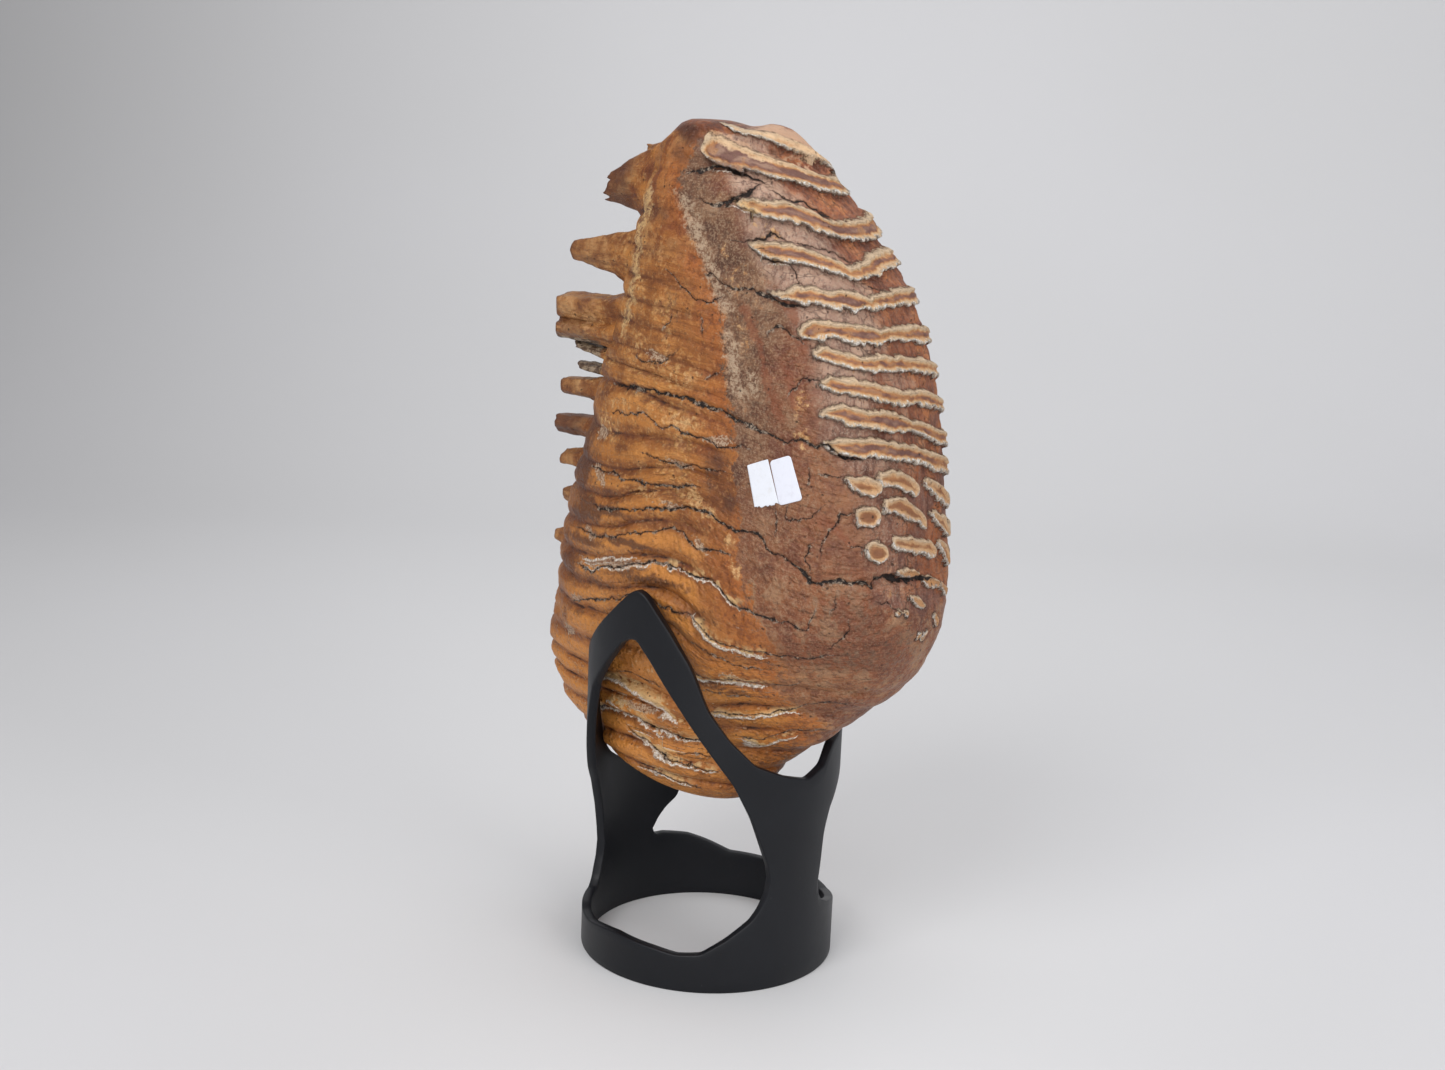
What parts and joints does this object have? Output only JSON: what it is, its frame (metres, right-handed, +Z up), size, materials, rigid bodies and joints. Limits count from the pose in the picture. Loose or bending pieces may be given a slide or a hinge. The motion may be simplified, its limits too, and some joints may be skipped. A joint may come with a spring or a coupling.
{
  "type": "mammoth molar on stand",
  "caption": "Whole fossil woolly mammoth molar with worn enamel ridges and broken roots, standing upright in a black stand cut from pipe.",
  "frame": {"origin": "middle of the whole object's box, on the floor", "axes": "+Z up, +X to the right across the front view, +Y away from the front; the tooth's roots point to -X and +Y, and its chewing face looks to +X and -Y"},
  "size_m": [0.1654, 0.1404, 0.3486],
  "materials": {
    "tooth": "matt to slightly waxy fossil dentine and cement",
    "black_paint": "satin black paint on steel",
    "paper_square": "plain white paper",
    "paper_rounded": "plain white paper"
  },
  "bodies": {
    "root": {"molar": "tooth", "stand": "black_paint", "label_square": "paper_square", "label_rounded": "paper_rounded"}
  },
  "joints": []
}
